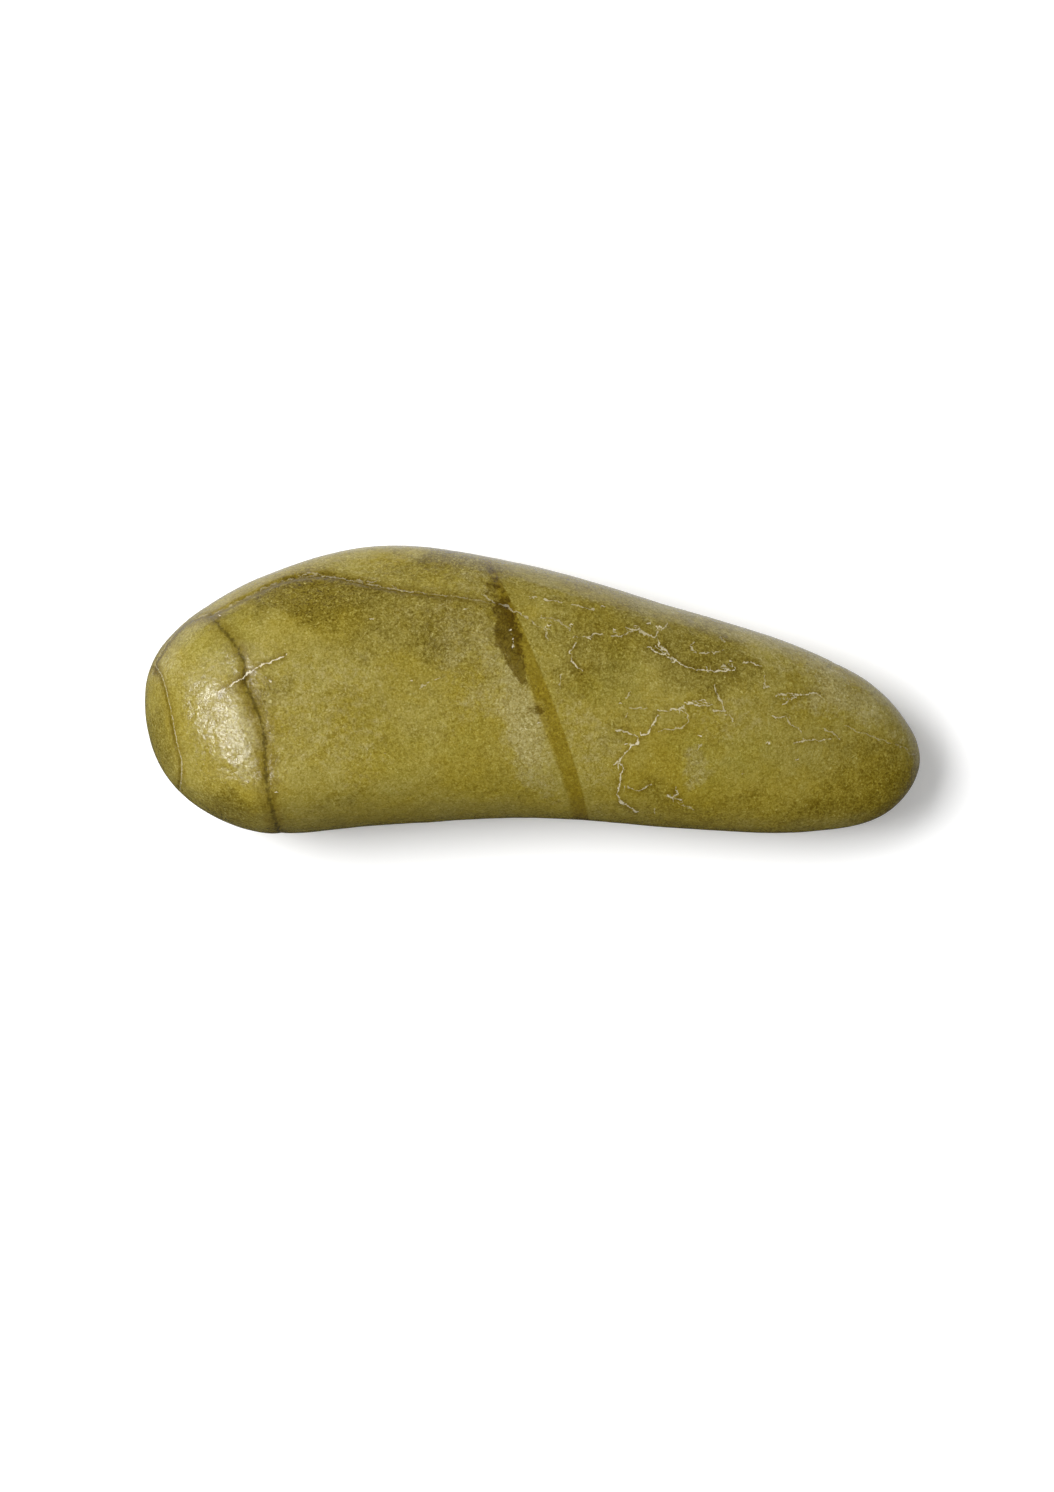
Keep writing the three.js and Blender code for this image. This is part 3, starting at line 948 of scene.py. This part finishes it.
# A round floor: a disc of triangles about its centre. The camera sees it paler than the stone does,
# and the stone's polish sees it dark but for the part close behind the stone.
def makeFloor():
    corners = studioLook["floorCorners"]
    angle = 2 * math.pi * np.arange(corners) / corners
    ring = studioLook["floorRadius"] * np.stack([np.cos(angle), np.sin(angle), 0 * angle], axis=1)
    points = np.concatenate([ring, [[0, 0, 0]]])
    faces = [(k, (k + 1) % corners, corners) for k in range(corners)]
    mesh = bpy.data.meshes.new("studioFloor")
    mesh.from_pydata(points.tolist(), [], faces)
    floor = bpy.data.objects.new("studioFloor", mesh)
    bpy.context.collection.objects.link(floor)
    material = bpy.data.materials.new("paleFloor")
    material.use_nodes = True
    tree = material.node_tree
    tree.nodes.clear()
    path = addNode(tree, "ShaderNodeLightPath").outputs
    seen, polish = path["Is Camera Ray"], path["Is Glossy Ray"]
    bounce, shade = studioLook["floorBounce"], studioLook["floorShade"]
    shade = maths(tree, "MULTIPLY_ADD", seen, shade - bounce, bounce)
    front, back = (sheen - bounce for sheen in studioLook["floorSheen"])
    spot = addNode(tree, "ShaderNodeTexCoord").outputs["Object"]
    place = split(tree, spot)
    distance = addNode(tree, "ShaderNodeVectorMath", {0: spot}, operation="LENGTH").outputs["Value"]
    behind = maths(tree, "MULTIPLY_ADD", place["X"], studioLook["behindLean"], place["Y"])
    behind = fall(tree, behind, *studioLook["behindEdge"])
    behind = maths(tree, "MULTIPLY", behind, fall(tree, distance, *studioLook["closeReach"]))
    sheen = maths(tree, "MULTIPLY_ADD", behind, back - front, front)
    shade = maths(tree, "MULTIPLY_ADD", polish, sheen, shade)
    far = fall(tree, distance, *studioLook["farReach"])
    glow = maths(tree, "MULTIPLY_ADD", far, studioLook["farGlow"], studioLook["floorGlow"])
    glow = maths(tree, "MULTIPLY", seen, glow)
    shader = addNode(tree, "ShaderNodeBsdfPrincipled", {
        "Base Color": shade, "Roughness": 0.9, "Specular IOR Level": 0.0,
        "Emission Color": (1, 1, 1), "Emission Strength": glow,
    })
    output = addNode(tree, "ShaderNodeOutputMaterial")
    tree.links.new(shader.outputs[0], output.inputs["Surface"])
    mesh.materials.append(material)


# A pale sky, brighter on one side, that the camera itself sees as white.
def makeSky():
    world = bpy.data.worlds.new("studio")
    bpy.context.scene.world = world
    world.use_nodes = True
    tree = world.node_tree
    tree.nodes.clear()
    path = addNode(tree, "ShaderNodeLightPath").outputs
    way = addNode(tree, "ShaderNodeTexCoord").outputs["Generated"]
    bright = tuple(Vector(studioLook["skyTowards"]).normalized())
    facing = addNode(tree, "ShaderNodeVectorMath", {0: way, 1: bright}, operation="DOT_PRODUCT")
    dim, most = studioLook["skyDim"], studioLook["skyBright"]
    strength = fall(tree, facing.outputs["Value"], *studioLook["skySpread"])
    strength = maths(tree, "MULTIPLY_ADD", strength, most - dim, dim)
    sheen = maths(tree, "MULTIPLY_ADD", path["Is Glossy Ray"], studioLook["skySheen"] - 1, 1.0)
    strength = maths(tree, "MAXIMUM", maths(tree, "MULTIPLY", strength, sheen), path["Is Camera Ray"])
    sky = addNode(tree, "ShaderNodeBackground", {"Color": (1, 1, 1), "Strength": strength})
    output = addNode(tree, "ShaderNodeOutputWorld")
    tree.links.new(sky.outputs[0], output.inputs["Surface"])


# A square lamp facing the stone.
def makeLamp(name):
    light = bpy.data.lights.new(name, "AREA")
    light.shape = "SQUARE"
    light.size = studioLook[name + "Size"]
    light.energy = studioLook[name + "Power"]
    lamp = bpy.data.objects.new(name, light)
    away = Vector(studioLook[name + "From"]).normalized()
    lamp.location = away * studioLook["lampDistance"]
    lamp.rotation_euler = away.to_track_quat("Z", "Y").to_euler()
    bpy.context.collection.objects.link(lamp)
    return lamp


# Looks straight down, with the frame's height fitted at the stone's widest level.
def makeCamera():
    low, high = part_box("serpentine_stone")
    camera = bpy.data.cameras.new("camera")
    camera.lens = studioLook["lens"]
    camera.clip_start = 0.01
    holder = bpy.data.objects.new("camera", camera)
    distance = studioLook["frameHeight"] * camera.lens / camera.sensor_width
    middle = (low + high) / 2
    shiftX, shiftY = studioLook["frameShift"]
    holder.location = (middle.x + shiftX, middle.y + shiftY, middle.z + distance)
    bpy.context.collection.objects.link(holder)
    bpy.context.scene.camera = holder


stone = makeStone()
stone.data.materials.append(makeSerpentine())
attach(stone, "root")
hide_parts("serpentine_stone")
makeFloor()
makeSky()
makeLamp("key").visible_glossy = False
makeLamp("glint").visible_diffuse = False
makeCamera()
bpy.context.scene.view_settings.view_transform = "Standard"
print("studio made")
